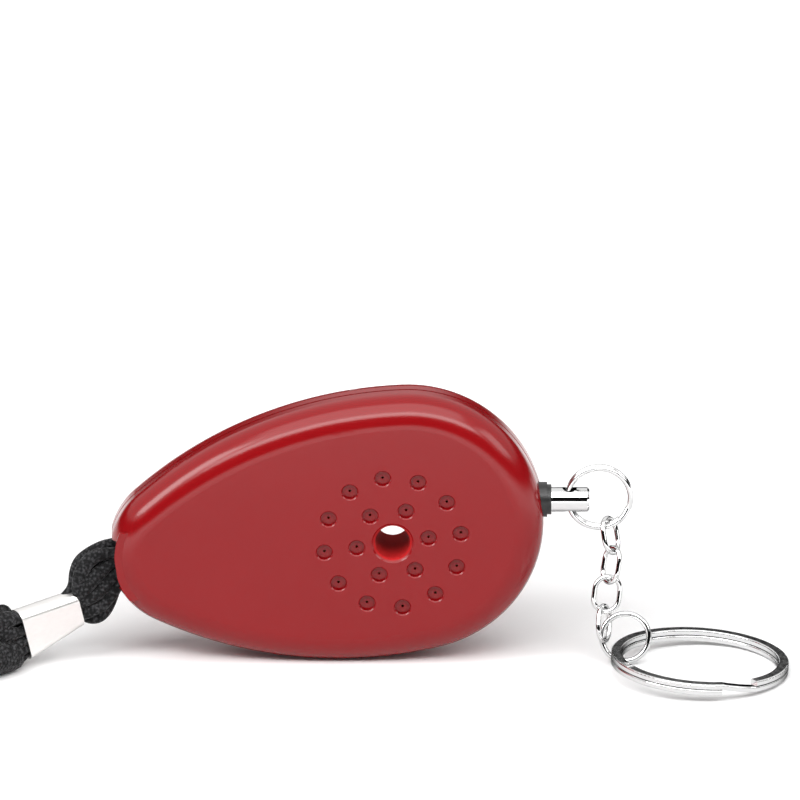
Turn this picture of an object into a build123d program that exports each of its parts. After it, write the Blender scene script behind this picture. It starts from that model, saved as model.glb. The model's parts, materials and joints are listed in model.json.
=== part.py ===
from build123d import *

import math
import os

os.makedirs("parts", exist_ok=True)

# Personal safety alarm with a pull pin, a key ring on a chain and a wrist strap.
# The case stands on its long curved edge with its face towards -Y, as it is photographed. Lengths are in mm.

# Egg outline of the case: a large arc at the pin's end, a small one at the strap's end, and two long side arcs
case_length = 62.0
big_radius = 19.3
tip_radius = 11.0
side_radius = 60.0
front_depth = 5.6
rear_depth = 5.4
front_edge = 4.1
rear_edge = 3.8
wall = 1.4
seam_width = 0.35
seam_depth = 0.3
tilt = 8.3

# Running clearance, seat clearance and the overrun of every cut
running = 0.05
seat = 0.1
overrun = 1.0

# Sounder and its holes, about a centre given from the large arc's centre
sounder_x = -2.4
sounder_y = -1.6
bore_radius = 2.5
bore_rounding = 0.5
tube_wall = 0.9
hole_radius = 1.1
hole_mouth = 0.15
hole_depth = 0.7
port_radius = 0.2
outer_holes = 12
outer_ring = 9.8
inner_holes = 6
inner_ring = 5.15
disc_radius = 13.0
disc_thickness = 0.3
disc_bore = 4.2
ceramic_radius = 10.0
ceramic_bore = 5.0
ceramic_thickness = 0.25
gasket_width = 2.2
gasket_thickness = 0.7
seat_wall = 0.9
seat_drop = 1.3

# Circuit board and what is on it
board_thickness = 1.0
board_z = -1.4
board_margin = 1.0
board_gap = 0.4
board_notch = 5.0
board_notch_x = 10.2
board_post_radius = 1.0
board_post_shares = [(-0.57, 0.62), (-0.57, -0.65), (0.26, -0.757), (0.2, 0.75)]
chip_length = 4.9
chip_width = 3.9
chip_height = 1.5
transistor_length = 2.9
transistor_width = 1.6
transistor_height = 1.1
resistor_length = 2.0
resistor_width = 1.25
resistor_height = 0.6
capacitor_radius = 1.2
capacitor_length = 4.0
coil_radius = 3.0
coil_core_radius = 1.5
coil_height = 2.2
coil_flange = 0.35
leg_width = 0.4
leg_lift = 0.15
leg_reach = 0.9
chip_place_share = (-0.49, 0.285)
transistor_place_share = (-0.49, -0.36)
resistor_place_shares = [(0.0, -0.466), (-0.21, -0.466), (0.104, -0.6)]
capacitor_place_share = (0.337, -0.21)
coil_place_share = (0.26, 0.337)

# Button cells and their strips
cell_radius = 5.8
cell_height = 5.4
cell_gap = 0.35
cell_rim = 0.5
strip_thickness = 0.25
strip_width = 5.0
tab_width = 2.0
tab_reach = 1.5
tab_turn = -66.5
cell_peg_radius = 0.7
cell_peg_height = 2.4
cell_peg_turns = [0.0, 110.0]
wire_radius = 0.3
wire_shift = 1.2
wire_room = 0.85
bend_share = 0.45

# Case screws: two beside the pin, from the large arc's centre, and two with their bosses beside the third cell
screw_places_share = [(0.51, 0.61), (0.60, -0.54)]
boss_gap = 0.2
screw_radius = 0.8
screw_head_radius = 1.5
screw_head_height = 1.0
screw_length = 6.4
boss_radius = 2.1
counterbore_depth = 1.4
slot_width = 0.35

# Pull pin, its collar and the switch
pin_radius = 1.75
pin_out = 5.4
pin_in = 7.6
pin_chamfer = 0.3
pin_nose = 0.5
cross_hole_radius = 1.05
cross_hole_from_end = 2.8
collar_step_radius = 2.5
collar_step_length = 0.7
collar_lip_radius = 2.15
collar_lip_length = 0.6
collar_flange_radius = 3.0
collar_flange_length = 1.0
collar_sleeve_radius = 2.4
collar_sleeve_length = 2.5
collar_seat_share = 0.6
pin_line_rise = 2.7
leaf_thickness = 0.25
leaf_height = 1.4
leaf_length = 8.2
leaf_lap = 0.7
leaf_lift = 0.15
leaf_eye_radius = 0.65
peg_radius = 0.35
leaf_swing = 10.0
switch_post_radius = 0.5
switch_post_from_peg = 4.9

# Mouth for the strap at the narrow end
mouth_cut = 0.8
mouth_width = 7.4
mouth_height = 4.8
mouth_notch = 1.5
mouth_depth = 4.4
post_pin_radius = 0.9
post_back = 2.6



# Small split ring in the pin's cross hole: two turns of round wire
pin_ring_radius = 4.45
pin_ring_wire = 0.75
pin_ring_pitch = 0.8
pin_ring_rise = 0.35
pin_ring_step = 30.0
pin_ring_step_turn = -50.0
step_lap = 1.0

# Chain links, from the top: turn of each link's plane, and its lean to the side and to the front, in degrees
link_wire = 0.7
link_width = 4.4
link_length = 5.7
link_gap = 0.06
first_link_gap = 1.205
first_link_x_share = 0.315
link_turns = [58.0, -55.9, 12.0, 62.1]
link_leans_front = [-24.5, -15.1, -11.9, -32.0]
link_leans_side = [9.8, -9.6, -7.4, -3.8]

# Connector ring and key ring, each placed from the piece before it in shares of its own radius
connector_wire = 0.8
connector_radius = 3.35
connector_place_share = (0.953, 0.510, -0.036)
connector_lean = 16.7
key_ring_radius = 11.9
key_ring_band = 1.5
key_ring_turn_height = 0.8
key_ring_pitch = 0.88
key_ring_edge = 0.2
key_ring_step = 25.0
key_ring_step_turn = -75.0
key_ring_place_share = (0.888, -0.364, -0.174)
key_ring_lean_front = 1.2
key_ring_lean_side = 3.9

# Strap: gathered neck, crimp and wrist loop. The crimp's ends are given from the mouth, in the standing frame
neck_height = 10.3
neck_thickness = 4.4
neck_inner_height = 5.2
neck_inner_thickness = 4.0
neck_sections_share = [(0.0, 0.0, 0.66, 8.3, 0.95), (0.43, 0.31, 1.0, 14.6, 1.0), (0.84, 0.70, 0.87, 18.0, 0.86)]
neck_round_share = 0.42
crimp_near = (-5.64, -1.5, -7.1)
crimp_far = (-13.4, -6.0, -9.5)
crimp_near_height = 5.4
crimp_far_height = 7.8
crimp_thickness = 3.2
crimp_wall = 0.45
strap_diameter = 5.0
strap_split_share = 0.51
strap_start = 2.3
gather_length = 3.2
strap_floor = 2.6
strap_route = [
    (-61.45, -12.82, 2.6),
    (-79.95, -18.32, 2.6),
    (-107.95, -19.32, 2.6),
    (-134.95, -17.82, 2.6),
    (-150.95, -4.82, 2.6),
    (-142.95, 13.18, 2.6),
    (-111.95, 17.18, 2.6),
    (-81.95, 11.18, 2.6),
    (-64.95, -1.32, 4.6),
]


def egg_arcs():
    """Centre and radius of the large, small and upper side arcs, from the large arc's centre."""
    between = case_length - big_radius - tip_radius
    to_big = side_radius - big_radius
    to_tip = side_radius - tip_radius
    side_x = -between + (to_tip**2 - to_big**2 + between**2) / (2 * between)
    side_y = -math.sqrt(to_big**2 - side_x**2)
    return between, side_x, side_y


def egg(inset=0.0):
    """The case's outline, drawn in by inset, as a closed face of tangent arcs."""
    between, side_x, side_y = egg_arcs()
    big, tip, side = big_radius - inset, tip_radius - inset, side_radius - inset
    centre = Vector(side_x, side_y)
    big_join = centre + (Vector(0, 0) - centre).normalized() * side
    tip_join = centre + (Vector(-between, 0) - centre).normalized() * side
    middle = centre + ((big_join + tip_join) * 0.5 - centre).normalized() * side
    fat = ThreePointArc((big_join.X, -big_join.Y), (big, 0), (big_join.X, big_join.Y))
    upper = ThreePointArc((big_join.X, big_join.Y), (middle.X, middle.Y), (tip_join.X, tip_join.Y))
    narrow = ThreePointArc((tip_join.X, tip_join.Y), (-between - tip, 0), (tip_join.X, -tip_join.Y))
    lower = ThreePointArc((tip_join.X, -tip_join.Y), (middle.X, -middle.Y), (big_join.X, -big_join.Y))
    return make_face(Wire([fat, upper, narrow, lower]))


def tip_x():
    """Where the axis meets the narrow end, after the mouth's flat is cut."""
    return -(case_length - big_radius) + mouth_cut


def screw_places():
    third_x = cell_places()[2][0]
    reach = cell_radius + boss_gap + boss_radius
    return [(x * big_radius, y * big_radius) for x, y in screw_places_share] + [(third_x, reach), (third_x, -reach)]


def sounder_at(z):
    return Pos(sounder_x, sounder_y, z)


def disc(radius, low, high, bore=0.0):
    """A flat round piece about the local axis, from low to high."""
    body = Pos(0, 0, low) * Cylinder(radius, high - low, align=(Align.CENTER, Align.CENTER, Align.MIN))
    if bore > 0:
        body -= Pos(0, 0, low) * Cylinder(bore, high - low, align=(Align.CENTER, Align.CENTER, Align.MIN))
    return body


def block(x_low, x_high, y_low, y_high, z_low, z_high):
    low = (Align.MIN, Align.MIN, Align.MIN)
    return Pos(x_low, y_low, z_low) * Box(x_high - x_low, y_high - y_low, z_high - z_low, align=low)


# The case frame: x along the egg towards the pin, y up the face, z towards the viewer
def half_shell(depth, edge):
    """One half of the case, closed towards +z, with its inside cut out."""
    outer = extrude(egg(), depth)
    outer = fillet(outer.faces().sort_by(Axis.Z)[-1].edges(), edge)
    inner = extrude(egg(wall), depth - wall)
    inner = fillet(inner.faces().sort_by(Axis.Z)[-1].edges(), max(edge - wall, wall / 2))
    shell = outer - inner
    groove = extrude(egg() - egg(seam_depth), seam_width / 2)
    return shell - groove


def pin_frame():
    """x along the pin, outwards, with its zero where the pin's line leaves the case. The pin is level, so it leans."""
    lean = math.radians(tilt)
    level = Plane(origin=(0, 0, 0), x_dir=(math.cos(lean), -math.sin(lean), 0), z_dir=(0, 0, 1)).location
    return level * Pos(math.sqrt(big_radius**2 - pin_line_rise**2), pin_line_rise, 0)


def rod(radius, start, end):
    """A round rod along x."""
    return Pos(start, 0, 0) * Rot(0, 90, 0) * Cylinder(radius, end - start, align=(Align.CENTER, Align.CENTER, Align.MIN))


def collar_room():
    """What the collar takes out of both halves of the case: the way through, a seat outside and a seat inside."""
    inside = wall + collar_flange_length + seat
    through = rod(collar_lip_radius + seat, -inside, overrun)
    step = rod(collar_step_radius + seat, -wall * collar_seat_share, collar_step_length + overrun)
    flange = rod(collar_flange_radius + seat, -inside, -wall)
    return [pin_frame() * piece for piece in (through, step, flange)]


def mouth_room():
    """The flat, the slot and the notch at the narrow end."""
    x = tip_x()
    half = mouth_width / 2
    flat = block(x - overrun - mouth_cut, x, -big_radius, big_radius, -rear_depth - overrun, front_depth + overrun)
    slot = block(x - overrun, x + mouth_depth, -half, half, -mouth_height / 2, mouth_height / 2)
    notch = block(x - overrun, x + mouth_notch, -half, half, 0, mouth_height / 2 + mouth_notch)
    return [flat, slot, notch]


def sound_holes():
    """Places of the sound holes about the centre hole, in two rings."""
    outer = [(outer_ring, 360 / outer_holes * k) for k in range(outer_holes)]
    inner = [(inner_ring, 360 / inner_holes * k) for k in range(inner_holes)]
    for reach, angle in outer + inner:
        yield reach * math.cos(math.radians(angle)), reach * math.sin(math.radians(angle))


def mouth_block(depth):
    """Solid plastic round the mouth, which carries the strap's post."""
    x = tip_x()
    half = mouth_width / 2 + wall
    body = block(x, x + mouth_depth + wall, -half, half, 0, depth - wall / 2)
    return body & extrude(egg(wall / 2), depth)


def cone(low_radius, high_radius, low, high):
    shape = Cone(low_radius, high_radius, high - low, align=(Align.CENTER, Align.CENTER, Align.MIN))
    return Pos(0, 0, low) * shape


def front_shell():
    ceiling = front_depth - wall
    tube = sounder_at(0) * disc(bore_radius + tube_wall, -rear_depth + wall + running, ceiling)
    low = ceiling - seat_drop - disc_thickness
    seat_ring = sounder_at(0) * disc(disc_radius + seat + seat_wall, low, ceiling, disc_radius + seat)
    bosses = [Pos(x, y) * disc(boss_radius, 0, ceiling) for x, y in screw_places()]
    shell = half_shell(front_depth, front_edge) + [mouth_block(front_depth), tube, seat_ring] + bosses
    cuts = [Pos(x, y) * disc(screw_radius + running, -overrun, ceiling - wall / 2) for x, y in screw_places()]
    cuts.append(sounder_at(0) * disc(bore_radius, -rear_depth - overrun, front_depth + overrun))
    cuts.append(sounder_at(0) * cone(bore_radius, bore_radius + bore_rounding, front_depth - bore_rounding, front_depth))
    for x, y in sound_holes():
        place = sounder_at(0) * Pos(x, y)
        cuts.append(place * disc(hole_radius, front_depth - hole_depth, front_depth + overrun))
        cuts.append(place * cone(hole_radius, hole_radius + hole_mouth, front_depth - hole_mouth, front_depth))
        cuts.append(place * disc(port_radius, ceiling - overrun, front_depth))
    return shell - cuts - collar_room() - mouth_room() - strap_post(running)


def cell_pegs():
    """Pegs on the rear shell's floor, beside the two cells that lie side by side."""
    floor = -rear_depth + wall
    reach = cell_radius + cell_gap / 2 + cell_peg_radius
    first, second, third = cell_places()
    pegs = []
    for turn in cell_peg_turns:
        x, y = reach * math.cos(math.radians(turn)), reach * math.sin(math.radians(turn))
        peg = disc(cell_peg_radius, floor - wall / 2, floor + cell_peg_height)
        pegs += [Pos(first[0] + x, first[1] + y) * peg, Pos(second[0] + x, second[1] - y) * peg]
    return pegs


def rear_shell():
    shell = half_shell(rear_depth, rear_edge) + mouth_block(rear_depth)
    # The rear half is made facing +z, so it turns over about x before its own pieces are added
    shell = Rot(180, 0, 0) * shell
    floor = -rear_depth + wall
    bosses = [Pos(x, y) * disc(boss_radius, floor, 0) for x, y in screw_places()]
    posts = [Pos(x * big_radius, y * big_radius) * disc(board_post_radius, floor, board_z) for x, y in board_post_shares]
    shell += cell_pegs() + bosses + posts
    cuts = [Pos(x, y) * disc(screw_radius + running, -rear_depth, overrun) for x, y in screw_places()]
    under = -rear_depth + counterbore_depth
    cuts += [Pos(x, y) * disc(screw_head_radius + seat, -rear_depth - overrun, under) for x, y in screw_places()]
    cuts.append(sounder_at(0) * disc(bore_radius, -rear_depth - overrun, overrun))
    cuts.append(sounder_at(0) * cone(bore_radius + bore_rounding, bore_radius, -rear_depth, -rear_depth + bore_rounding))
    return shell - cuts - collar_room() - mouth_room() - strap_post(running)


def strap_post(room=0.0):
    """Steel pin across the mouth, from one half of the case to the other."""
    reach = mouth_height / 2 + wall / 2 + room
    return Pos(tip_x() + post_back, 0, 0) * disc(post_pin_radius + room, -reach, reach)


# Sounder, from the front shell inwards: soft ring, brass disc and ceramic
def piezo_disc():
    high = front_depth - wall - gasket_thickness
    return sounder_at(0) * disc(disc_radius, high - disc_thickness, high, disc_bore)


def piezo_ceramic():
    high = front_depth - wall - gasket_thickness - disc_thickness
    return sounder_at(0) * disc(ceramic_radius, high - ceramic_thickness, high, ceramic_bore)


def sounder_gasket():
    high = front_depth - wall
    return sounder_at(0) * disc(disc_radius, high - gasket_thickness, high, disc_radius - gasket_width)


# Cells: one at the narrow end, and two beside each other behind it
def cell_places():
    third_x = tip_x() + mouth_depth + wall + cell_radius + cell_gap
    half_row = cell_radius + cell_gap / 2
    pair_x = third_x + math.sqrt((2 * cell_radius + cell_gap) ** 2 - half_row**2)
    return [(pair_x, half_row), (pair_x, -half_row), (third_x, 0)]


def cells_low():
    """Height of the cells' undersides, on their strips."""
    return -rear_depth + wall + strip_thickness


def button_cell(number):
    """A can with its smaller cap, every second one turned over."""
    can = disc(cell_radius, 0, cell_height - cell_rim)
    cap = disc(cell_radius - 2 * cell_rim, cell_height - cell_rim, cell_height)
    cell = can + cap
    if number % 2 == 1:
        cell = Pos(0, 0, cell_height) * Rot(180, 0, 0) * cell
    return Pos(*cell_places()[number], cells_low()) * cell


def strip_between(start, end, low):
    """A flat strip with round ends between two places."""
    reach = math.hypot(end[0] - start[0], end[1] - start[1])
    turn = math.degrees(math.atan2(end[1] - start[1], end[0] - start[0]))
    half = strip_width / 2
    bar = block(0, reach, -half, half, 0, strip_thickness)
    bar += [disc(half, 0, strip_thickness), Pos(reach, 0, 0) * disc(half, 0, strip_thickness)]
    return Pos(*start, low) * Rot(0, 0, turn) * bar


def tab_place():
    """Where the third cell's strip ends beside it, under the red wire."""
    x, y = cell_places()[2]
    reach = cell_radius + tab_reach
    turn = math.radians(tab_turn)
    return x + reach * math.cos(turn), y + reach * math.sin(turn)


def cell_bridge():
    """Two strips that join the three cells in a row."""
    first, second, third = cell_places()
    below = strip_between(first, second, cells_low() - strip_thickness)
    above = strip_between(second, third, cells_low() + cell_height)
    return Compound([below, above])


def contact_plus():
    x, y = cell_places()[2]
    low = cells_low() - strip_thickness
    pad = Pos(x, y, low) * disc(strip_width / 2, 0, strip_thickness)
    tab = block(0, cell_radius + tab_reach + tab_width / 2, -tab_width / 2, tab_width / 2, low, low + strip_thickness)
    return pad + Pos(x, y) * Rot(0, 0, tab_turn) * tab


def contact_minus():
    x, y = cell_places()[0]
    end = (x + cell_radius + tab_reach - strip_width / 2 + wire_radius * 2, y)
    return strip_between((x, y), end, cells_low() + cell_height)


def battery_pad():
    """Foam between the cells' upper strips and the front shell."""
    low = cells_low() + cell_height + strip_thickness
    left = cell_places()[2][0] - cell_radius / 2
    right = sounder_x - disc_radius - 2 * seat_wall
    return block(left, right, -cell_radius, cell_radius, low, front_depth - wall)


# Circuit board, cut out round the tube, the bosses and the pin
def circuit_board():
    low = board_z - overrun
    high = board_z + board_thickness + overrun
    board = Pos(0, 0, board_z) * extrude(egg(wall + board_margin), board_thickness)
    end = cell_places()[0][0] + cell_radius + board_gap
    cuts = [block(-case_length, end, -big_radius, big_radius, low, high)]
    cuts.append(block(board_notch_x, case_length, -board_notch, board_notch, low, high))
    cuts.append(sounder_at(0) * disc(bore_radius + tube_wall + board_gap, low, high))
    cuts += [Pos(x, y) * disc(boss_radius + board_gap, low, high) for x, y in screw_places()]
    return board - cuts


def on_board_back(place_share):
    """A place on the board's back, facing the rear shell."""
    x, y = place_share
    return Pos(x * big_radius, y * big_radius, board_z) * Rot(180, 0, 0)


def alarm_chip():
    """Small-outline chip on eight legs."""
    half_length, half_width = chip_length / 2, chip_width / 2
    body = block(-half_length, half_length, -half_width, half_width, leg_lift, chip_height)
    span = half_width + leg_reach
    for k in range(4):
        middle = (k - 3 / 2) * chip_length / 4
        body += block(middle - leg_width / 2, middle + leg_width / 2, -span, span, 0, leg_lift)
    return on_board_back(chip_place_share) * body


def transistor():
    half_length, half_width = transistor_length / 2, transistor_width / 2
    body = block(-half_length, half_length, -half_width, half_width, leg_lift, transistor_height)
    for k in (-1, 0, 1):
        middle = k * transistor_length / 3
        near, far = (0, half_width + leg_reach) if k == 0 else (-half_width - leg_reach, 0)
        body += block(middle - leg_width / 2, middle + leg_width / 2, near, far, 0, leg_lift)
    return on_board_back(transistor_place_share) * body


def resistors():
    length, width = resistor_length / 2, resistor_width / 2
    chip = block(-length, length, -width, width, 0, resistor_height)
    return Compound([on_board_back(place) * chip for place in resistor_place_shares])


def capacitor():
    """A can that lies on the board."""
    can = Rot(90, 0, 0) * Cylinder(capacitor_radius, capacitor_length)
    return on_board_back(capacitor_place_share) * Pos(0, 0, capacitor_radius) * can


def boost_coil_core():
    """Ferrite bobbin: a post between two flanges."""
    core = disc(coil_core_radius, 0, coil_height)
    core += [disc(coil_radius, 0, coil_flange), disc(coil_radius, coil_height - coil_flange, coil_height)]
    return on_board_back(coil_place_share) * core


def boost_coil_winding():
    turns = disc(coil_radius - coil_flange, coil_flange, coil_height - coil_flange, coil_core_radius)
    return on_board_back(coil_place_share) * turns


# Round tubes along straight runs joined by arcs
def bends(points):
    """Radius of each arc: a share of the shorter run, as large as the turn lets it be."""
    radii = []
    for before, corner, after in zip(points, points[1:], points[2:]):
        into = Vector(*corner) - Vector(*before)
        out = Vector(*after) - Vector(*corner)
        half_turn = math.radians(into.get_angle(out)) / 2
        radii.append(bend_share * min(into.length, out.length) / math.tan(half_turn))
    return radii


def tube(points, radius):
    path = FilletPolyline(*points, radius=bends(points))
    section = Plane(origin=path @ 0, z_dir=path % 0) * Circle(radius)
    return sweep(section, path=path), path.length


def kinked_wire(x, y, high, low):
    """A wire between two heights, with one kink that takes up its slack."""
    middle = (high + low) / 2
    route = [(x, y, high), (x, y, middle), (x + wire_shift, y, middle), (x + wire_shift, y, low)]
    return tube(route, wire_radius)[0]


def sounder_wire_red():
    high = front_depth - wall - gasket_thickness - disc_thickness - ceramic_thickness
    return kinked_wire(sounder_x, sounder_y + (ceramic_bore + ceramic_radius) / 2, high, board_z + board_thickness)


def sounder_wire_black():
    high = front_depth - wall - gasket_thickness - disc_thickness
    reach = (ceramic_radius + disc_radius) / 2
    return kinked_wire(sounder_x, sounder_y + reach, high, board_z + board_thickness)


def battery_wire_black():
    """From the first cell's strip down to the board's front."""
    x, y = cell_places()[0]
    return kinked_wire(x + cell_radius + tab_reach, y, cells_low() + cell_height, board_z + board_thickness)


def battery_wire_red():
    """From the third cell's tab, past the second cell, to the board's back."""
    x, y = tab_place()
    second_x, second_y = cell_places()[1]
    beside = second_y - cell_radius - cell_peg_radius - wire_room
    low = board_z - wire_room - wire_radius
    end_x = second_x + cell_radius + 2 * wire_room
    end_y = beside + cell_radius * 2 / 3
    route = [
        (x, y, cells_low()),
        (x, y, low),
        (x + cell_radius * 2 / 5, beside, low),
        (second_x + cell_radius / 3, beside, low),
        (end_x, end_y, low),
        (end_x, end_y, board_z),
    ]
    return tube(route, wire_radius)[0]


def case_screws():
    """Four pan-head screws, driven in from the back."""
    under = -rear_depth + counterbore_depth
    top = under - screw_head_height
    screw = disc(screw_radius, under, under + screw_length) + disc(screw_head_radius, top, under)
    reach = screw_head_radius * 2 / 3
    slot = block(-reach, reach, -slot_width / 2, slot_width / 2, top, top + screw_head_height / 2)
    screw -= [slot, Rot(0, 0, 90) * slot]
    return Compound([Pos(x, y) * screw for x, y in screw_places()])


# Pull pin and what it goes through, in the pin's own frame
def pin_collar():
    """Black guide: a step and a lip outside, a flange and a sleeve inside."""
    inside = -wall - collar_flange_length
    lip = rod(collar_lip_radius, inside, collar_step_length + collar_lip_length)
    step = rod(collar_step_radius, -wall * collar_seat_share, collar_step_length)
    flange = rod(collar_flange_radius, inside, -wall)
    sleeve = rod(collar_sleeve_radius, inside - collar_sleeve_length, inside)
    bore = rod(pin_radius + running, inside - collar_sleeve_length - overrun, collar_step_length + collar_lip_length + overrun)
    return pin_frame() * (lip + [step, flange, sleeve] - bore)


def pin_end():
    """How far the pin stands out of the case."""
    return collar_step_length + collar_lip_length + pin_out


def pull_pin():
    """Round pin with a flat outer end, a pointed inner end and an upright cross hole."""
    shaft = rod(pin_radius, -pin_in + pin_nose, pin_end() - pin_chamfer)
    tip = Pos(pin_end() - pin_chamfer, 0, 0) * Rot(0, 90, 0) * cone(pin_radius, pin_radius - pin_chamfer, 0, pin_chamfer)
    nose = Pos(-pin_in, 0, 0) * Rot(0, 90, 0) * cone(pin_radius - pin_nose, pin_radius, 0, pin_nose)
    hole = Rot(90, 0, 0) * Cylinder(cross_hole_radius, 2 * pin_radius + overrun)
    return pin_frame() * (shaft + [tip, nose] - Pos(pin_end() - cross_hole_from_end, 0, 0) * hole)


# The switch stands on the board beside the pin's inner end
def leaf_line():
    """Height of the leaf's middle above the pin's line, and the place of its peg along that line."""
    return pin_radius + running + leaf_thickness / 2, -pin_in + leaf_lap - leaf_length


def switch_leaf():
    """Strip that the pin holds up, with an eye round its peg."""
    middle, peg_x = leaf_line()
    low = board_z + board_thickness + leaf_lift
    strip = block(peg_x, peg_x + leaf_length, middle - leaf_thickness / 2, middle + leaf_thickness / 2, low, low + leaf_height)
    eye = Pos(peg_x, middle) * disc(leaf_eye_radius, low, low + leaf_height)
    room = Pos(peg_x, middle) * disc(peg_radius + running, low - overrun, low + leaf_height + overrun)
    return pin_frame() * (strip + eye - room)


def switch_post():
    """The leaf's peg, and the post that it meets when the pin is out."""
    middle, peg_x = leaf_line()
    low = board_z + board_thickness
    high = low + leaf_lift + leaf_height + peg_radius
    peg = Pos(peg_x, middle) * disc(peg_radius, low, high)
    drop = switch_post_from_peg * math.sin(math.radians(leaf_swing))
    post_y = middle - drop - leaf_thickness / 2 - switch_post_radius - running
    post = Pos(peg_x + switch_post_from_peg, post_y) * disc(switch_post_radius, low, high)
    return Compound([pin_frame() * peg, pin_frame() * post])


# The standing frame: X to the right, Y away from the viewer, Z up from the surface, X zero at the large arc's centre
def centre_height():
    """Height of the large arc's centre when the case stands on its lower side arc."""
    between, side_x, side_y = egg_arcs()
    lean = math.radians(tilt)
    return side_radius - side_x * math.sin(lean) + side_y * math.cos(lean)


def standing():
    lean = math.radians(tilt)
    return Plane(origin=(0, 0, centre_height()), x_dir=(math.cos(lean), 0, math.sin(lean)), z_dir=(0, -1, 0)).location


def pin_level():
    """Height of the pin's line, and where its cross hole is."""
    start = standing() * pin_frame() * Pos(pin_end() - cross_hole_from_end, 0, 0)
    return start.position


def split_ring(radius, pitch, section, step):
    """Two flat turns about the local z, joined by a step over the given angle, which comes down anticlockwise."""
    upright = Pos(radius, 0, 0) * Plane.XZ * section
    low = Rot(0, 0, step - step_lap) * revolve(upright, axis=Axis.Z, revolution_arc=360 - step + step_lap)
    high = Pos(0, 0, pitch) * Rot(0, 0, step) * revolve(upright, axis=Axis.Z, revolution_arc=360 - step + step_lap)
    path = Helix(pitch=pitch * 360 / step, height=pitch, radius=radius, lefthand=True)
    start = Plane(origin=path @ 0, x_dir=(1, 0, 0), z_dir=path % 0)
    ramp = Rot(0, 0, step) * sweep(start * section, path=path, is_frenet=True)
    return Pos(0, 0, -pitch / 2) * (low + [high, ramp])


def pin_ring_centre():
    hole = pin_level()
    return Vector(hole.X + pin_ring_radius - cross_hole_radius / 4, 0, hole.Z + pin_ring_rise)


def pin_ring():
    """Split ring of round wire that stands in the cross hole."""
    ring = split_ring(pin_ring_radius, pin_ring_pitch, Circle(pin_ring_wire / 2), pin_ring_step)
    return Plane(origin=pin_ring_centre(), x_dir=(1, 0, 0), z_dir=(0, -1, 0)).location * Rot(0, 0, pin_ring_step_turn) * ring


def link_places():
    """Centre, long direction and plane of each link, and the point where the next piece hangs."""
    ring = pin_ring_centre()
    place = Vector(ring.X + pin_ring_radius * first_link_x_share, 0, ring.Z - pin_ring_radius)
    gap = first_link_gap
    half = (link_length - link_wire) / 2
    places = []
    for turn, front, side in zip(link_turns, link_leans_front, link_leans_side):
        down = Vector(math.tan(math.radians(side)), math.tan(math.radians(front)), -1).normalized()
        normal = Vector(math.sin(math.radians(turn)), -math.cos(math.radians(turn)), 0)
        across = down.cross(normal).normalized()
        places.append((place + down * (half - gap), down, across))
        place += down * (2 * half - gap)
        gap = link_wire + link_gap
    return places, place


def chain_link(number):
    """Oval of round wire."""
    centre, down, across = link_places()[0][number]
    width, length = link_width - link_wire, link_length - link_wire
    straight = (length - width) / 2
    plane = Plane(origin=centre, x_dir=down, z_dir=down.cross(across))
    side = width / 2
    lines = [
        Line((-straight, -side), (straight, -side)),
        ThreePointArc((straight, -side), (straight + side, 0), (straight, side)),
        Line((straight, side), (-straight, side)),
        ThreePointArc((-straight, side), (-straight - side, 0), (-straight, -side)),
    ]
    path = plane * Wire(lines)
    section = Plane(origin=path @ 0, z_dir=path % 0) * Circle(link_wire / 2)
    return sweep(section, path=path)


def connector_plane():
    x, y, z = connector_place_share
    centre = link_places()[1] + Vector(x, y, z) * connector_radius
    lean = math.radians(connector_lean)
    return Plane(origin=centre, x_dir=(1, 0, 0), z_dir=(0, -math.cos(lean), math.sin(lean)))


def connector_ring():
    """Closed ring of round wire."""
    return connector_plane().location * Torus(connector_radius, connector_wire / 2)


def key_ring_plane():
    x, y, z = key_ring_place_share
    centre = connector_plane().origin + Vector(x, y, z) * key_ring_radius
    side, front = math.radians(key_ring_lean_side), math.radians(key_ring_lean_front)
    return Plane(origin=centre, x_dir=(1, 0, 0), z_dir=(math.sin(side), math.sin(front), 1))


def key_ring():
    """Split ring: two turns of a flat band with rounded edges."""
    section = RectangleRounded(key_ring_band, key_ring_turn_height, key_ring_edge)
    ring = split_ring(key_ring_radius, key_ring_pitch, section, key_ring_step)
    return key_ring_plane().location * Rot(0, 0, key_ring_step_turn) * ring


# The strap
def mouth_place():
    return (standing() * Pos(tip_x(), 0, 0)).position


def crimp_line():
    """The crimp's near and far middles, its direction, and its upward direction."""
    mouth = mouth_place()
    near = mouth + Vector(*crimp_near)
    far = mouth + Vector(*crimp_far)
    along = (far - near).normalized()
    up = (Vector(0, 0, 1) - along * along.Z).normalized()
    return near, far, along, up


def flat_section(centre, up, normal, height, thickness):
    """A tall section with round corners."""
    round_off = neck_round_share * min(height, thickness)
    return Plane(origin=centre, x_dir=up, z_dir=normal) * RectangleRounded(height, thickness, round_off)


def crimp_body(inset):
    near, far, along, up = crimp_line()
    first = flat_section(near, up, along, crimp_near_height - 2 * inset, crimp_thickness - 2 * inset)
    last = flat_section(far, up, along, crimp_far_height - 2 * inset, crimp_thickness - 2 * inset)
    return loft([first, last], ruled=True)


def strap_crimp():
    """Pressed metal sleeve round the gathered strap."""
    return crimp_body(0.0) - crimp_body(crimp_wall)


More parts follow.
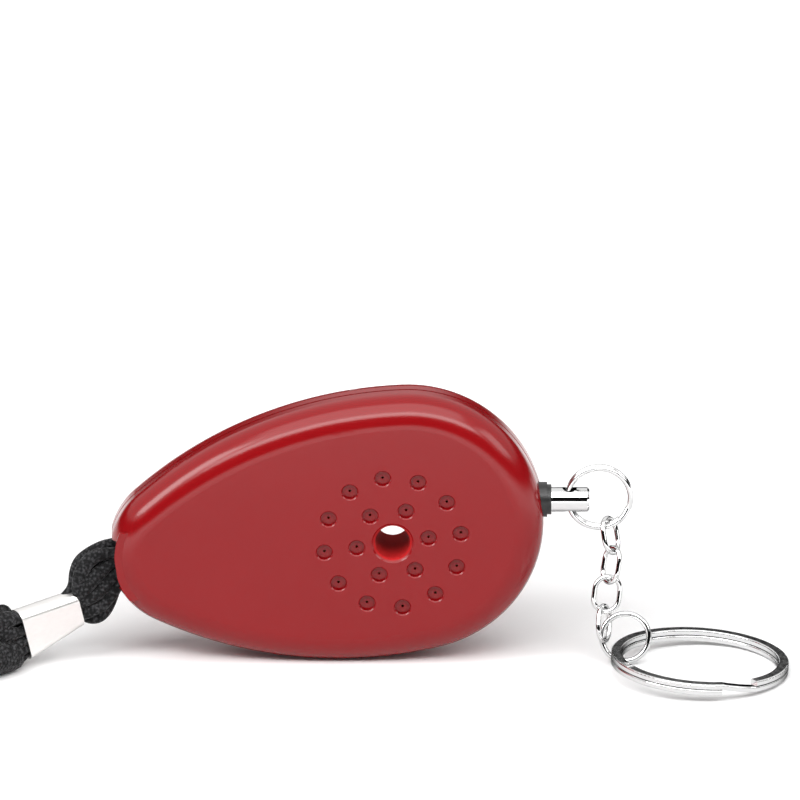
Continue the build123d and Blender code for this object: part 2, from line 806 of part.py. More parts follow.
def strap_neck():
    """The gathered strap from round its post, out of the mouth and through the crimp."""
    near, far, along, up = crimp_line()
    mouth = mouth_place()
    inner = standing() * Pos(tip_x() + mouth_depth - running, 0, 0)
    lean = math.radians(tilt)
    case_up = Vector(-math.sin(lean), 0, math.cos(lean))
    case_out = Vector(-math.cos(lean), 0, -math.sin(lean))
    sections = [flat_section(inner.position, case_up, case_out, neck_inner_height, neck_inner_thickness)]
    for x_share, z_share, height_share, section_lean, thickness_share in neck_sections_share:
        middle = Vector(mouth.X + x_share * (near.X - mouth.X), x_share * near.Y, mouth.Z + z_share * (near.Z - mouth.Z))
        turn = math.radians(section_lean)
        section_up = Vector(-math.sin(turn), 0, math.cos(turn))
        normal = Vector(-math.cos(turn), 0, -math.sin(turn))
        sections.append(
            flat_section(middle, section_up, normal, neck_height * height_share, neck_thickness * thickness_share)
        )
    inset = crimp_wall
    sections.append(flat_section(near, up, along, crimp_near_height - 2 * inset, crimp_thickness - 2 * inset))
    gathered = flat_section(far, up, along, crimp_far_height - 2 * inset, crimp_thickness - 2 * inset)
    neck = loft(sections, ruled=True) + [crimp_body(inset), extrude(gathered, gather_length)]
    return neck - standing() * strap_post(running)


def strap_loop():
    """The wrist loop: one tube from the crimp, round on the surface, and back to it."""
    near, far, along, up = crimp_line()
    split = up * (strap_diameter * strap_split_share)
    ahead = Vector(along.X, along.Y, 0).normalized() * strap_start
    low, high = far - split + ahead, far + split + ahead
    points = [(low.X, low.Y, low.Z)] + strap_route + [(high.X, high.Y, high.Z)]
    loop, length = tube(points, strap_diameter / 2)
    expected = math.pi * strap_diameter**2 / 4 * length
    print("strap bend radii", [round(radius, 1) for radius in bends(points)])
    print("strap length", round(length, 1), "volume over section x length", round(loop.volume / expected, 4))
    return loop


def build():
    """Every piece, in the standing frame."""
    cased = {
        "front_shell": front_shell(),
        "rear_shell": rear_shell(),
        "case_screws": case_screws(),
        "strap_post": strap_post(),
        "piezo_disc": piezo_disc(),
        "piezo_ceramic": piezo_ceramic(),
        "sounder_gasket": sounder_gasket(),
        "circuit_board": circuit_board(),
        "alarm_chip": alarm_chip(),
        "transistor": transistor(),
        "resistors": resistors(),
        "capacitor": capacitor(),
        "boost_coil_core": boost_coil_core(),
        "boost_coil_winding": boost_coil_winding(),
        "sounder_wire_red": sounder_wire_red(),
        "sounder_wire_black": sounder_wire_black(),
        "battery_wire_red": battery_wire_red(),
        "battery_wire_black": battery_wire_black(),
        "contact_plus": contact_plus(),
        "contact_minus": contact_minus(),
        "cell_bridge": cell_bridge(),
        "battery_pad": battery_pad(),
        "pin_collar": pin_collar(),
        "pull_pin": pull_pin(),
        "switch_leaf": switch_leaf(),
        "switch_post": switch_post(),
    }
    for number in range(3):
        cased[f"button_cell_{number + 1}"] = button_cell(number)
    pieces = {name: standing() * shape for name, shape in cased.items()}
    pieces["pin_ring"] = pin_ring()
    for number in range(len(link_turns)):
        pieces[f"chain_link_{number + 1}"] = chain_link(number)
    pieces["connector_ring"] = connector_ring()
    pieces["key_ring"] = key_ring()
    pieces["strap_neck"] = strap_neck()
    pieces["strap_crimp"] = strap_crimp()
    pieces["strap_loop"] = strap_loop()
    return pieces


def to_origin(pieces):
    """The step that puts the origin under the middle of the alarm's box, its strap left out."""
    boxes = [shape.bounding_box() for name, shape in pieces.items() if not name.startswith("strap_") or name == "strap_post"]
    x = (min(box.min.X for box in boxes) + max(box.max.X for box in boxes)) / 2
    y = (min(box.min.Y for box in boxes) + max(box.max.Y for box in boxes)) / 2
    return Pos(-x, -y, -min(box.min.Z for box in boxes))


pieces = build()
move = to_origin(pieces)
print("moved by", [round(value, 3) for value in move.position])
for name, shape in pieces.items():
    export_step(move * shape, f"parts/{name}.step")
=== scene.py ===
# %% [markdown]
# A personal safety alarm stands on its long curved edge: a red egg-shaped case, a chromed pull pin on a
# chain with a key ring, and a black knitted wrist strap. The hard pieces come from the CAD model as they
# are and only get their finishes here. The strap is soft, and the CAD model has only plain solids for it,
# so its wrist loop and the gathered folds at the case's mouth are modelled in this file.

# %% Load the fixed frame
import json
import math

import bmesh
import bpy
from mathutils import Matrix, Vector


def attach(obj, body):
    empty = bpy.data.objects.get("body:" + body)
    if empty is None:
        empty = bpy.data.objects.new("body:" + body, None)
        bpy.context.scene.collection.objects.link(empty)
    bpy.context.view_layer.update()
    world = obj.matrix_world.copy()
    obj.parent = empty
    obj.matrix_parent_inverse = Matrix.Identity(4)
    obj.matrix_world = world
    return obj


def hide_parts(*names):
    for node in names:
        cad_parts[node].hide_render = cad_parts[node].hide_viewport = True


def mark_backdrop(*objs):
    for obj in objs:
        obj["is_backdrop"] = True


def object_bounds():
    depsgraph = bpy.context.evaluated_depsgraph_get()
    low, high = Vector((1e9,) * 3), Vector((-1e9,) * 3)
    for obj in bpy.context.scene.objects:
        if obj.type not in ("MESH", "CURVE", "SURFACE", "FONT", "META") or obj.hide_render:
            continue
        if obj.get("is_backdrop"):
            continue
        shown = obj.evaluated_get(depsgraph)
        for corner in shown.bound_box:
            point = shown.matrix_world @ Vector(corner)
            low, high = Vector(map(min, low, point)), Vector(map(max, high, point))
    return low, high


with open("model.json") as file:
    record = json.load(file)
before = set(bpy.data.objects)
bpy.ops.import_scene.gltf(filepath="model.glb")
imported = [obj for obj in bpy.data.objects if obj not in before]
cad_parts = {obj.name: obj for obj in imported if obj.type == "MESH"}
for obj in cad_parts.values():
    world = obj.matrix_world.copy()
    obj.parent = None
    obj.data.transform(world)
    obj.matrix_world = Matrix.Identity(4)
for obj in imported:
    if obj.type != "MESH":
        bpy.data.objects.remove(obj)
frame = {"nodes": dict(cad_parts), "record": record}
cad_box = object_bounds()
scene = bpy.context.scene
MM = 0.001
print("CAD box", cad_box)

# %% [markdown]
# A finish is a tree of shader nodes. Written node by node, a tree is hard to read, so one small class wraps
# a socket and lets Python's own operators add the Math nodes. Every other node comes from its one method,
# `node`, which takes the node's type, its settings and what goes into its sockets.

# %% Shader maths as Python expressions


class Signal:
    """A socket in a material's node tree, which can be added, multiplied and so on."""

    def __init__(self, tree, socket):
        self.tree = tree
        self.socket = socket

    def node(self, kind, settings=None, values=None, out=0):
        """Adds a node of any kind, with its settings and inputs, and gives one of its outputs."""
        made = self.tree.nodes.new(kind)
        for name, value in (settings or {}).items():
            setattr(made, name, value)
        for name, value in (values or {}).items():
            if isinstance(value, Signal):
                self.tree.links.new(value.socket, made.inputs[name])
            else:
                made.inputs[name].default_value = value
        return Signal(self.tree, made.outputs[out])

    def math(self, operation, first, second):
        return self.node("ShaderNodeMath", {"operation": operation}, {0: first, 1: second})

    def __add__(self, other):
        return self.math("ADD", self, other)

    __radd__ = __add__

    def __sub__(self, other):
        return self.math("SUBTRACT", self, other)

    def __rsub__(self, other):
        return self.math("SUBTRACT", other, self)

    def __mul__(self, other):
        return self.math("MULTIPLY", self, other)

    __rmul__ = __mul__

    def to(self, surface, name):
        """Links this signal to one of a surface's sockets."""
        self.tree.links.new(self.socket, surface.inputs[name])


# %% [markdown]
# A handful of small helpers is all that the finishes need: an empty material, smooth noise of a known size,
# a blend of two colours and a relief. Patterns read Object coordinates. Every piece sits at the origin, so
# these are the frame's own metres, and a pattern stays on its piece when the piece moves.

# %% Helpers that the finishes share
# The Mix node keeps the sockets of all its data types, so its colour sockets are found by number
MIX_FACTOR, MIX_FROM, MIX_TO, MIX_COLOUR = 0, 6, 7, 2


def new_material(name):
    """An empty material, its surface node, and object coordinates as a Signal."""
    made = bpy.data.materials.new(name)
    made.use_nodes = True
    tree = made.node_tree
    coordinates = tree.nodes.new("ShaderNodeTexCoord")
    return made, tree.nodes["Principled BSDF"], Signal(tree, coordinates.outputs["Object"])


def noise(place, size, detail=2.0, stretch=(1, 1, 1)):
    """Smooth noise from 0 to 1, with features of a given size in metres."""
    scaled = place.node("ShaderNodeMapping", {}, {"Vector": place, "Scale": stretch})
    return place.node("ShaderNodeTexNoise", {}, {"Vector": scaled, "Scale": 1 / size, "Detail": detail})


def blend(place, first, second, factor):
    """From the first colour (factor 0) to the second (factor 1). Either may be a Signal."""
    start, end = (colour if isinstance(colour, Signal) else (*colour, 1) for colour in (first, second))
    values = {MIX_FACTOR: factor, MIX_FROM: start, MIX_TO: end}
    return place.node("ShaderNodeMix", {"data_type": "RGBA"}, values, out=MIX_COLOUR)


def shaded(place, colour, spread, factor):
    """A colour that the factor makes a little darker (0) or lighter (1)."""
    dark = [value * (1 - spread) for value in colour]
    light = [min(1, value * (1 + spread)) for value in colour]
    return blend(place, dark, light, factor)


def bump(place, height, strength, distance):
    """A surface normal that follows a height."""
    return place.node("ShaderNodeBump", {}, {"Height": height, "Strength": strength, "Distance": distance})


# %% [markdown]
# Moulded plastic is never quite even: a fine grain moves its gloss, and the way it flowed into the mould
# changes its colour a very little. A picture of the surface could show this too, but noise has no seams and
# needs no unwrapping. The same recipe, with other numbers, serves every plastic piece.

# %% A recipe for plastic
MOULDED_GRAIN = 0.6 * MM
MOULDED_FLOW = 12 * MM
TINT_SPREAD = 0.04
GLOSS_SPREAD = 0.03
GRAIN_STRENGTH = 0.4
# Painted shade: the deeper red of the tube's inner wall stands in for the shade inside the tube
TUBE_SHADE_RED = (0.45, 0.002, 0.003)
DULL_ROUGHNESS = 0.7


def plastic(name, colour, rough, relief=0.0, coat=0.0, shine=0.5, shaded_dull=None):
    """Gloss with a faint unevenness. Where shaded_dull gives 1, the surface turns rough, and its colour is
    painted a deeper red as shade.
    """
    made, surface, place = new_material(name)
    fine = noise(place, MOULDED_GRAIN)
    broad = noise(place, MOULDED_FLOW)
    tint = shaded(place, colour, TINT_SPREAD, broad)
    gloss = rough - GLOSS_SPREAD + fine * GLOSS_SPREAD + broad * GLOSS_SPREAD
    if shaded_dull:
        shaded_dull_wall = shaded_dull(place)
        # Painted shade: the tube's wall gets the deeper red, and the added roughness makes it matt
        tint = blend(place, tint, TUBE_SHADE_RED, shaded_dull_wall)
        gloss = gloss + shaded_dull_wall * DULL_ROUGHNESS
    tint.to(surface, "Base Color")
    gloss.to(surface, "Roughness")
    surface.inputs["Coat Weight"].default_value = coat
    surface.inputs["Specular IOR Level"].default_value = shine
    if relief:
        bump(place, fine, GRAIN_STRENGTH, relief).to(surface, "Normal")
    return made


# %% [markdown]
# Plated and bare metal show how they were polished or rolled: in fine lines that run one way. The same noise
# does it, drawn out along one axis. The rim value tints what a metal reflects at a grazing angle, because
# thin bright plating on a small ring looks darker there than a perfect mirror would.

# %% A recipe for metal
POLISH_GRAIN = 0.8 * MM
POLISH_DETAIL = 3.0
POLISH_TINT_SPREAD = 0.05
POLISH_GLOSS_SPREAD = 0.08
POLISH_STRENGTH = 0.3


def metal(name, colour, rough, stretch=(1, 1, 1), grain=POLISH_GRAIN, relief=0.0, rim=1.0):
    """Bare or plated metal: lines of polish that the stretch draws out in one direction."""
    made, surface, place = new_material(name)
    surface.inputs["Metallic"].default_value = 1.0
    lines = noise(place, grain, POLISH_DETAIL, stretch)
    shaded(place, colour, POLISH_TINT_SPREAD, lines).to(surface, "Base Color")
    (rough - POLISH_GLOSS_SPREAD / 2 + lines * POLISH_GLOSS_SPREAD).to(surface, "Roughness")
    surface.inputs["Specular Tint"].default_value = (rim, rim, rim, 1)
    if relief:
        bump(place, lines, POLISH_STRENGTH, relief).to(surface, "Normal")
    return made


# %% [markdown]
# The strap is knitted from black yarn: small loops that catch the light as grey specks, with dark gaps
# between them. Real loops as geometry would be far too many, so the cells of a Voronoi texture stand for the
# loops and fine noise for the fibres. Together they drive both the colour and the relief.

# %% A recipe for knitted fabric
LOOP_SIZE = 0.5 * MM
LOOP_UNEVENNESS = 0.9
LOOP_STRENGTH = 0.8
LOOP_RELIEF = 0.25 * MM
SPECK_SIZE = 0.4 * MM
SPECK_DETAIL = 3.0
SPECK_WEIGHT = 1.6
SPECK_LEVEL = 0.2
SPECK_CONTRAST = 2.0
YARN_ROUGHNESS = 0.75
YARN_ROUGHNESS_SPREAD = 0.2
YARN_GLOSS = {"Sheen Weight": 0.15, "Sheen Roughness": 0.4, "Specular IOR Level": 0.25}


def knit(name, yarn, lit):
    """Knitted fabric: small loops of a yarn's colour, some of which catch the light."""
    made, surface, place = new_material(name)
    cells = {"Vector": place, "Scale": 1 / LOOP_SIZE, "Randomness": LOOP_UNEVENNESS}
    loops = place.node("ShaderNodeTexVoronoi", {}, cells)
    specks = noise(place, SPECK_SIZE, SPECK_DETAIL)
    catch = (specks * SPECK_WEIGHT - loops - SPECK_LEVEL) * SPECK_CONTRAST
    blend(place, yarn, lit, catch).to(surface, "Base Color")
    (YARN_ROUGHNESS + specks * YARN_ROUGHNESS_SPREAD).to(surface, "Roughness")
    bump(place, specks - loops, LOOP_STRENGTH, LOOP_RELIEF).to(surface, "Normal")
    for socket, value in YARN_GLOSS.items():
        surface.inputs[socket].default_value = value
    return made


# %% [markdown]
# The see-through tube in the middle of the case is moulded round a straight core, which leaves its wall
# matt. Its colour there is painted a deeper red, as painted shade inside the tube. It is the same CAD piece
# as the glossy face, and so has the same material. What tells the wall apart is its distance from the tube's
# axis, so the material measures that.

# %% The see-through tube's wall
TUBE_MIDDLE = (-8.195 * MM, 0, 18.595 * MM)
TUBE_RADIUS = 2.5 * MM
SHADED_DULL_UP_TO = TUBE_RADIUS + 0.0875 * MM
GLOSSY_FROM = TUBE_RADIUS + 0.35 * MM
ACROSS_THE_TUBE = (1, 0, 1)


def on_tube_wall(place):
    """1 on the wall of the see-through tube, 0 away from it."""
    across = place.node("ShaderNodeVectorMath", {"operation": "MULTIPLY"}, {0: place, 1: ACROSS_THE_TUBE})
    ends = {0: across, 1: TUBE_MIDDLE}
    away = across.node("ShaderNodeVectorMath", {"operation": "DISTANCE"}, ends, out=1)
    limits = {"Value": away, "From Min": GLOSSY_FROM, "From Max": SHADED_DULL_UP_TO}
    return away.node("ShaderNodeMapRange", {}, limits)


print("dull wall up to mm from the tube's axis", round(SHADED_DULL_UP_TO / MM, 2))

# %% [markdown]
# The record names one material slot for each CAD piece. Each slot gets one finish, also inside the case,
# where nobody looks until the alarm is taken apart. Colours are linear values, darker than they look.

# %% One finish for each material slot of the record
finishes = {
    # The tube's wall is rough, and its colour is painted a deeper red as shade
    "red_plastic": plastic("red_plastic", (0.25, 0.003, 0.005), rough=0.18, shine=0.42, shaded_dull=on_tube_wall),
    "black_plastic": plastic("black_plastic", (0.018, 0.018, 0.018), rough=0.35, relief=0.01 * MM),
    "chrome": metal("chrome", (0.80, 0.80, 0.80), rough=0.06, rim=0.15),
    "nickel": metal(
        "nickel", (0.95, 0.93, 0.91), rough=0.3, stretch=(0.2, 1, 1), grain=0.5 * MM, relief=0.02 * MM
    ),
    "black_fabric": knit("black_fabric", yarn=(0.003, 0.003, 0.0034), lit=(0.05, 0.05, 0.053)),
    "foam": plastic("foam", (0.05, 0.05, 0.055), rough=0.85, relief=0.08 * MM),
    "brass": metal("brass", (0.72, 0.52, 0.22), rough=0.3),
    "ceramic": plastic("ceramic", (0.72, 0.70, 0.64), rough=0.45),
    "board_green": plastic("board_green", (0.02, 0.14, 0.06), rough=0.3, coat=0.3),
    "chip_black": plastic("chip_black", (0.02, 0.02, 0.022), rough=0.5, relief=0.01 * MM),
    "ferrite": plastic("ferrite", (0.06, 0.057, 0.055), rough=0.6, relief=0.02 * MM),
    "copper": metal("copper", (0.72, 0.30, 0.14), rough=0.3, stretch=(1, 6, 1), grain=0.4 * MM),
    "red_wire": plastic("red_wire", (0.5, 0.02, 0.02), rough=0.4),
    "black_wire": plastic("black_wire", (0.02, 0.02, 0.02), rough=0.4),
    "steel": metal("steel", (0.56, 0.56, 0.57), rough=0.28),
    "cell_steel": metal("cell_steel", (0.66, 0.66, 0.67), rough=0.25, stretch=(1, 0.3, 1)),
    "can_black": plastic("can_black", (0.02, 0.02, 0.03), rough=0.25, coat=0.3),
}
for part in frame["record"]["subparts"]:
    for slot in frame["nodes"][part["node"]].material_slots:
        slot.material = finishes[part["material_slot"]]

# %% [markdown]
# Both parts of the strap are round and soft, and bend without a kink. A mesh tube would need its rings
# turned along every bend. A NURBS curve with a thickness does that by itself, and each of its points can
# also make it thicker or thinner.

# %% Soft cords from curves
CORD_ORDER = 3


def soft_cord(name, radius, round_steps, length_steps):
    """An empty curve object, drawn as a round cord of black fabric with closed ends."""
    line = bpy.data.curves.new(name, "CURVE")
    line.dimensions = "3D"
    line.bevel_depth = radius
    line.bevel_resolution = round_steps
    line.resolution_u = length_steps
    line.use_fill_caps = True
    line.materials.append(finishes["black_fabric"])
    made = bpy.data.objects.new(name, line)
    scene.collection.objects.link(made)
    return made


def lay(cord, places_mm, thicknesses):
    """Adds one run to a cord, through places in mm, with its thickness in times the cord's own at each."""
    run = cord.data.splines.new("NURBS")
    run.points.add(len(places_mm) - 1)
    for point, place, thickness in zip(run.points, places_mm, thicknesses):
        point.co = (*(Vector(place) * MM), 1)
        point.radius = thickness
    run.order_u = CORD_ORDER
    run.use_endpoint_u = True
    return run


# %% [markdown]
# The wrist loop leaves the crimp twice, once on each side of the gather, and lies on the surface as it fell.
# A cloth simulation could drop it, but would fall differently each time. The points are given one by one,
# and lie half the strap's thickness above the surface.

# %% The wrist loop
STRAP_DIAMETER = 5.0 * MM
LOOP_ROUTE_MM = [
    (-62.33, 1.0, 2.51),
    (-67.5, -5.0, 2.6),
    (-86, -10.5, 2.6),
    (-114, -11.5, 2.6),
    (-141, -10, 2.6),
    (-157, 3, 2.6),
    (-149, 21, 2.6),
    (-118, 25, 2.6),
    (-88, 19, 2.6),
    (-71, 6.5, 4.6),
    (-63.47, 0.34, 7.44),
]
EVEN = [1.0] * len(LOOP_ROUTE_MM)
wrist_loop = soft_cord("wrist_loop", STRAP_DIAMETER / 2, round_steps=6, length_steps=16)
loop_length = lay(wrist_loop, LOOP_ROUTE_MM, EVEN).calc_length()
print("loop length mm", round(loop_length / MM, 1))
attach(wrist_loop, "case")
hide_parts("strap_loop")

# %% [markdown]
# Between the case's mouth and the crimp the strap is a bunch of folds, which the crimp pinches. One bent
# solid would look like a sausage, so each fold is a soft strand of its own. All of them pass the same
# stations, from inside the mouth to just beyond the crimp. A station says where the bunch's middle is, which
# way is up across it, and half its height and thickness.

# %% Stations of the gathered strap
ALONG = Vector((-0.8357, -0.4846, -0.2585))
CRIMP_UP = Vector((-0.2236, -0.1297, 0.966))
CRIMP_FAR = Vector((-60.91, 1.82, 4.98))
MOUTH_UP = Vector((-0.144, 0, 0.99))
CREST_UP = Vector((-0.25, 0, 0.968))
DROP_UP = Vector((-0.31, 0, 0.951))
BEFORE_THE_FAR_EDGE = ALONG * 1.0
BEYOND_THE_FAR_EDGE = ALONG * 2.0 + Vector((0, 0, 0.5))
STATIONS_MM = [
    (Vector((-44.6, 7.82, 15.0)), MOUTH_UP, 2.3, 1.7),
    (Vector((-47.6, 7.75, 13.3)), MOUTH_UP, 3.8, 2.1),
    (Vector((-50.0, 7.1, 11.5)), CREST_UP, 5.5, 2.5),
    (Vector((-51.9, 6.5, 9.8)), DROP_UP, 5.2, 2.4),
    (Vector((-53.15, 6.32, 7.38)), CRIMP_UP, 2.1, 1.0),
    (CRIMP_FAR - BEFORE_THE_FAR_EDGE, CRIMP_UP, 3.0, 1.0),
    (CRIMP_FAR + BEYOND_THE_FAR_EDGE, CRIMP_UP, 4.7, 2.0),
]
STATIONS_BEFORE_CRIMP = 4
print("stations", len(STATIONS_MM))

# %% [markdown]
# A fold's rise says how far up the bunch it runs, from -1 to 1, and its depth how far to the front or back.
# Neighbours change from front to back, as pleats do. A slow wave, different for each fold, keeps them from
# looking combed.

# %% Places of one fold
FOLDS = [
    (-1, 0.1),
    (-0.75, -0.9),
    (-0.5, 0.8),
    (-0.22, -0.9),
    (0.0, 0.8),
    (0.25, -0.9),
    (0.5, 0.8),
    (0.78, -0.8),
    (1, 0.2),
]
FOLD_SHARE = 0.2
THINNEST_FOLD = 0.6
WAVE = 0.45
WAVE_TURN_PER_FOLD = 2.4
WAVE_TURN_PER_STATION = 1.9
FRONT = Vector((0, 1, 0))
CRIMP_FRONT = ALONG.cross(CRIMP_UP)


def fold_at(number, station):
    """Where a fold passes a station, in mm, and how thick it is there."""
    rise, depth = FOLDS[number]
    middle, up, half_height, half_thickness = STATIONS_MM[station]
    thick = max(THINNEST_FOLD, half_height * FOLD_SHARE)
    front = FRONT if station < STATIONS_BEFORE_CRIMP else CRIMP_FRONT
    sway = WAVE * math.sin(WAVE_TURN_PER_FOLD * number + WAVE_TURN_PER_STATION * station)
    upward = up * ((half_height - thick) * rise + sway)
    forward = front * (max(0, half_thickness - thick) * depth + sway / 2)
    return middle + upward + forward, thick


print("first fold at the mouth mm", [round(value, 2) for value in fold_at(0, 0)[0]])

# %% [markdown]
# Beyond the crimp the folds must turn into the two sides of the loop. The upper ones run into its upper
# start and the lower ones into its lower start, where they end inside the loop's own cord.

# %% Folds of the gathered strap
TAIL_REACH = ALONG * 2.5
TAIL_SPREAD = 0.6
TAIL_MIDDLE_RISE = 0.5
TAIL_THICKNESS = 1.7
TAIL_LOWEST = 2.0
UPPER_START = Vector(LOOP_ROUTE_MM[-1])
LOWER_START = Vector(LOOP_ROUTE_MM[0])


def tail_of(rise):
    """Where a fold ends inside the loop, in mm."""
    start, middle_rise = (UPPER_START, TAIL_MIDDLE_RISE) if rise > 0 else (LOWER_START, -TAIL_MIDDLE_RISE)
    end = start + TAIL_REACH + Vector((0, 0, TAIL_SPREAD * (rise - middle_rise)))
    end.z = max(end.z, TAIL_LOWEST)
    return end


gathered = soft_cord("gathered_strap", 1.0 * MM, round_steps=5, length_steps=10)
for number, (rise, _) in enumerate(FOLDS):
    passed = [fold_at(number, station) for station in range(len(STATIONS_MM))]
    passed.append((tail_of(rise), TAIL_THICKNESS))
    places, thicknesses = zip(*passed)
    lay(gathered, places, thicknesses)
print("folds", len(gathered.data.splines))
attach(gathered, "case")
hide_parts("strap_neck")

# %% [markdown]

# %% [markdown]
# Such pictures are taken on a white sweep. The floor here is pale, and the camera and the metal see it as
# white. Away from the object it fades into a plain white glow that lights nothing, so that no horizon
# shows. Near the object it doesn't glow, and keeps the object's shadow.

# %% White floor
FLOOR_SIZE = 4.0
FLOOR_SHADE = 0.8
SEEN_SHADE = 1.0
FLOOR_ROUGHNESS = 0.9
GLOW_FROM = 70 * MM
GLOW_TO = 170 * MM
BLACK = (0, 0, 0)
WHITE = (1, 1, 1)

white, white_surface, white_place = new_material("floor_white")
to_camera = white_place.node("ShaderNodeLightPath")
blend(white_place, (FLOOR_SHADE,) * 3, (SEEN_SHADE,) * 3, to_camera).to(white_surface, "Base Color")
far_off = white_place.node("ShaderNodeVectorMath", {"operation": "LENGTH"}, {0: white_place}, out=1)
glow_limits = {"Value": far_off, "From Min": GLOW_FROM, "From Max": GLOW_TO}
fading = far_off.node("ShaderNodeMapRange", {}, glow_limits)
seen_rays = to_camera
for ray in ("Is Glossy Ray", "Is Transmission Ray"):
    seen_rays = seen_rays + Signal(white.node_tree, to_camera.socket.node.outputs[ray])
blend(white_place, BLACK, WHITE, fading * seen_rays).to(white_surface, "Emission Color")
white_surface.inputs["Emission Strength"].default_value = 1.0
white_surface.inputs["Roughness"].default_value = FLOOR_ROUGHNESS
white_surface.inputs["Specular IOR Level"].default_value = 0.0


def stage_piece(name, shape, material):
    """Makes a finished bmesh an object of the stage."""
    mesh = bpy.data.meshes.new(name)
    shape.to_mesh(mesh)
    shape.free()
    mesh.materials.append(material)
    made = bpy.data.objects.new(name, mesh)
    scene.collection.objects.link(made)
    return made


floor_shape = bmesh.new()
bmesh.ops.create_grid(floor_shape, x_segments=1, y_segments=1, size=FLOOR_SIZE / 2)
floor = stage_piece("floor", floor_shape, white)
print("floor m", tuple(floor.dimensions))

# %% [markdown]
# Large soft lamps give the soft light of a studio. The long narrow one above the front draws the pale band
# along the case's upper rounding, and the one at the left makes that band brighter there. The broad one
# evens out the light, and the one at the right lights the side with the chain. A lamp's power is worked out
# from how bright its face is, so a lamp of another size stays just as bright in its reflection.

# %% Lamps
AIM = (0, 0, 0)
SIDE_AIM = (0, 0, 0.02)
# Name, place, what it points at, width and height in metres, and radiance
LAMPS = [
    ("strip_softbox", (0.0, -0.46, 0.5), AIM, (1.0, 0.16), 5.4),
    ("top_softbox", (0.0, -0.22, 0.6), AIM, (0.8, 0.5), 2.0),
    ("right_softbox", (0.75, -0.3, 0.5), SIDE_AIM, (0.35, 0.35), 3.0),
    ("left_softbox", (-0.62, -0.3, 0.55), SIDE_AIM, (0.26, 0.4), 7.5),
]


def softbox(name, place, aim, size, radiance):
    """An area lamp with a given radiance, pointed at a place."""
    width, height = size
    lamp = bpy.data.lights.new(name, "AREA")
    lamp.shape = "RECTANGLE"
    lamp.size = width
    lamp.size_y = height
    lamp.energy = radiance * math.pi * width * height
    made = bpy.data.objects.new(name, lamp)
    made.location = place
    made.rotation_euler = (Vector(aim) - Vector(place)).to_track_quat("-Z", "Y").to_euler()
    scene.collection.objects.link(made)
    return lamp.energy


for lamp_row in LAMPS:
    print(lamp_row[0], "watts", round(softbox(*lamp_row), 2))

# %% [markdown]
# Chrome shows nothing but what stands round it, and all white it would vanish before a white background. A
# photographer puts up black cards, which the metal shows as thin dark lines. Here an upright ring stands
# round the table and one card in front of it. Only reflections see them, so they darken nothing else.

# %% Dark screens round the table
SCREEN_SHADE = (0.02, 0.02, 0.02)
SCREEN_SPREAD = 0.1
SCREEN_GRAIN = 0.2
SCREEN_ROUGHNESS = 0.9
RING_RADIUS = 1.8
RING_LOW = 0.06
RING_HIGH = 0.58
RING_SIDES = 64
CARD_PLACE = (0, -1.5, 0.65)
CARD_WIDTH = 3.0
CARD_HEIGHT = 1.15

dark, dark_surface, dark_place = new_material("screen_dark")
patches = noise(dark_place, SCREEN_GRAIN)
shaded(dark_place, SCREEN_SHADE, SCREEN_SPREAD, patches).to(dark_surface, "Base Color")
dark_surface.inputs["Roughness"].default_value = SCREEN_ROUGHNESS
dark_surface.inputs["Specular IOR Level"].default_value = 0.0


def screen(name, shape):
    """A dark piece of the stage that only reflections see."""
    made = stage_piece(name, shape, dark)
    made.visible_camera = False
    made.visible_diffuse = False
    made.visible_shadow = False
    return made


ring = bmesh.new()
bmesh.ops.create_cone(
    ring,
    cap_ends=False,
    segments=RING_SIDES,
    radius1=RING_RADIUS,
    radius2=RING_RADIUS,
    depth=RING_HIGH - RING_LOW,
)
bmesh.ops.translate(ring, vec=(0, 0, (RING_LOW + RING_HIGH) / 2), verts=ring.verts)
room = screen("dark_room", ring)

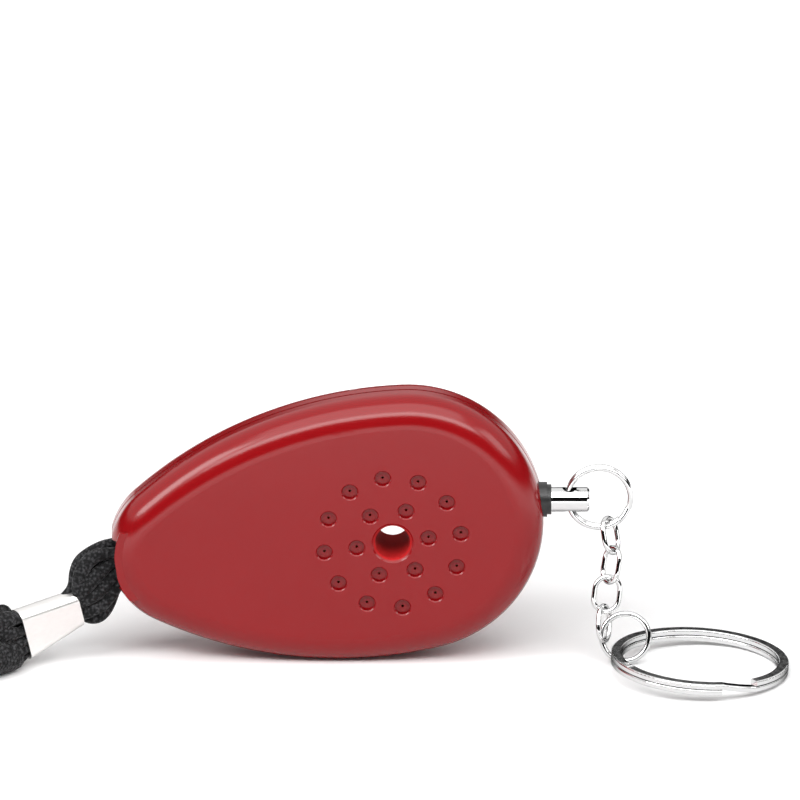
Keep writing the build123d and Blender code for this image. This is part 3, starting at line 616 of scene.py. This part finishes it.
upright = bmesh.new()
bmesh.ops.create_grid(upright, x_segments=1, y_segments=1, size=CARD_WIDTH / 2)
bmesh.ops.scale(upright, vec=(1, CARD_HEIGHT / CARD_WIDTH, 1), verts=upright.verts)
bmesh.ops.rotate(upright, matrix=Matrix.Rotation(math.radians(90), 3, "X"), verts=upright.verts)
bmesh.ops.translate(upright, vec=CARD_PLACE, verts=upright.verts)
card = screen("dark_card", upright)
print("ring m", tuple(room.dimensions), "card m", tuple(card.dimensions))

# %% [markdown]
# The surroundings are white to the camera, to the metal and through anything clear, and much weaker as a
# light, so that the lamps still shape the case. The Light Path node tells the rays apart.

# %% White surroundings
FILL_STRENGTH = 0.3
world = bpy.data.worlds.new("surroundings")
scene.world = world
world.use_nodes = True
rays = world.node_tree.nodes.new("ShaderNodeLightPath")
camera_ray, glossy_ray, through_ray = (
    Signal(world.node_tree, rays.outputs[name])
    for name in ("Is Camera Ray", "Is Glossy Ray", "Is Transmission Ray")
)
seen = (camera_ray + glossy_ray + through_ray) * (1 - FILL_STRENGTH) + FILL_STRENGTH
background = world.node_tree.nodes["Background"]
seen.to(background, "Strength")
background.inputs["Color"].default_value = (*WHITE, 1)
print("fill light", FILL_STRENGTH)

# %% [markdown]
# The alarm is seen through a long lens from twenty degrees above, straight at the flat side. A parallel
# camera draws that best. Its width comes from the picture's own scale: so many millimetres across.

# %% Camera
VIEW_WIDTH = 113.64 * MM
VIEW_MIDDLE = Vector((-7.145, 0, 41.08)) * MM
ELEVATION = math.radians(20)
view = bpy.data.cameras.new("camera")
view.type = "ORTHO"
view.ortho_scale = VIEW_WIDTH
camera = bpy.data.objects.new("camera", view)
camera.location = VIEW_MIDDLE + Vector((0, -math.cos(ELEVATION), math.sin(ELEVATION)))
camera.rotation_euler = (math.pi / 2 - ELEVATION, 0, 0)
scene.collection.objects.link(camera)
scene.camera = camera
scene.view_settings.view_transform = "Standard"
print("picture width mm", VIEW_WIDTH / MM)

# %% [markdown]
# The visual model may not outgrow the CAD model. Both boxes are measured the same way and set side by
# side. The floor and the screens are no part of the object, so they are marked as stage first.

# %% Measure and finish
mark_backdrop(floor, room, card)
scene_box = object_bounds()


def plain(box):
    """A box, or any nest of numbers, as plain lists."""
    return [plain(inner) for inner in box] if hasattr(box, "__len__") else float(box)


{"cad": plain(cad_box), "scene": plain(scene_box)}
print("scene box", scene_box)
